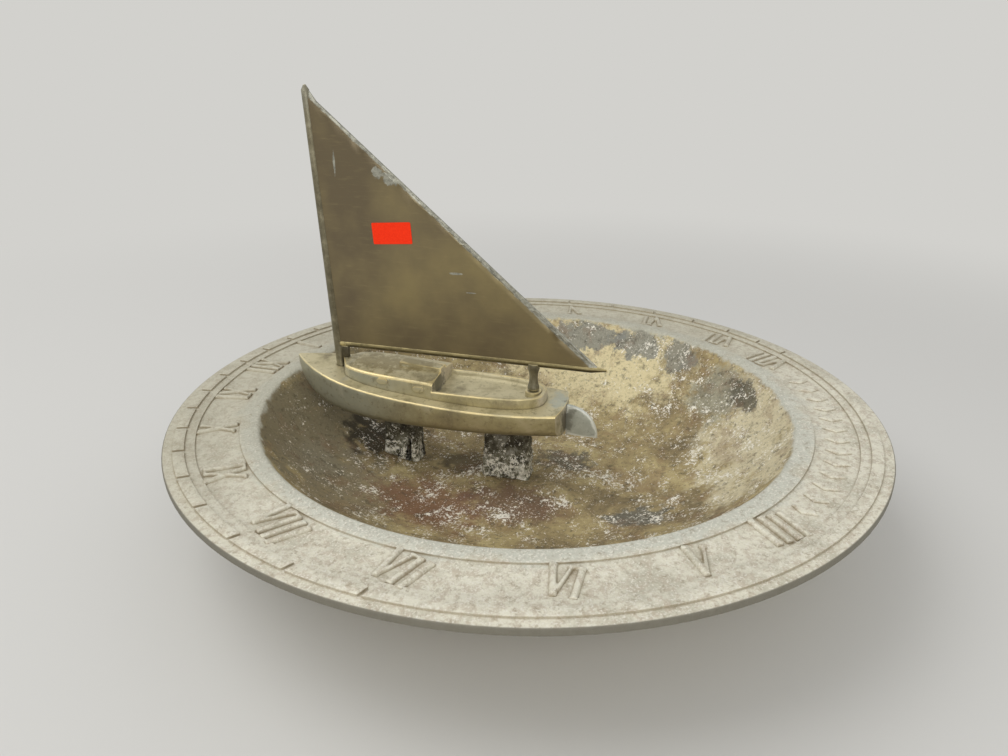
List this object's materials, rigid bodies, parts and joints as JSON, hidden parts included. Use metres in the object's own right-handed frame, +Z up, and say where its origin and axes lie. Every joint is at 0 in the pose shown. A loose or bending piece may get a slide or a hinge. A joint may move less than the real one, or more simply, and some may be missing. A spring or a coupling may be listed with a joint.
{
  "type": "sundial",
  "caption": "Shallow cast dish sundial with a raised hour ring on its rim and a model catboat whose sloping sail edge casts the shadow.",
  "frame": {"origin": "centre of the dish's foot ring, on the surface that it stands on", "axes": "+Z up, +Y along the noon line towards the boat's bow, +X towards the evening hours"},
  "size_m": [0.356, 0.356, 0.213],
  "materials": {
    "dish_casting": "sand-cast and weathered, pale on the rim, ochre water stain with white lime specks in the bowl",
    "hull_brass": "dull brown patina, bright where edges are rubbed, grey-green at the bow",
    "rig_brass": "dull brown patina with grey rubbed edges",
    "sail_brass": "satin brown patina with a bare grey bevel and a few scratches",
    "rudder_metal": "dull blue-grey with a bright round edge",
    "leg_casting": "black with a white lime crust",
    "fastener_steel": "dull galvanised steel"
  },
  "bodies": {
    "root": {"dish": "dish_casting", "boat_hull": "hull_brass", "cabin": "hull_brass", "mast": "rig_brass", "sail": "sail_brass", "boom": "rig_brass", "boom_crutch": "rig_brass", "rudder": "rudder_metal", "front_leg": "leg_casting", "rear_leg": "leg_casting", "hold_down_studs": "fastener_steel", "hold_down_washers": "fastener_steel", "hold_down_nuts": "fastener_steel"}
  },
  "joints": []
}
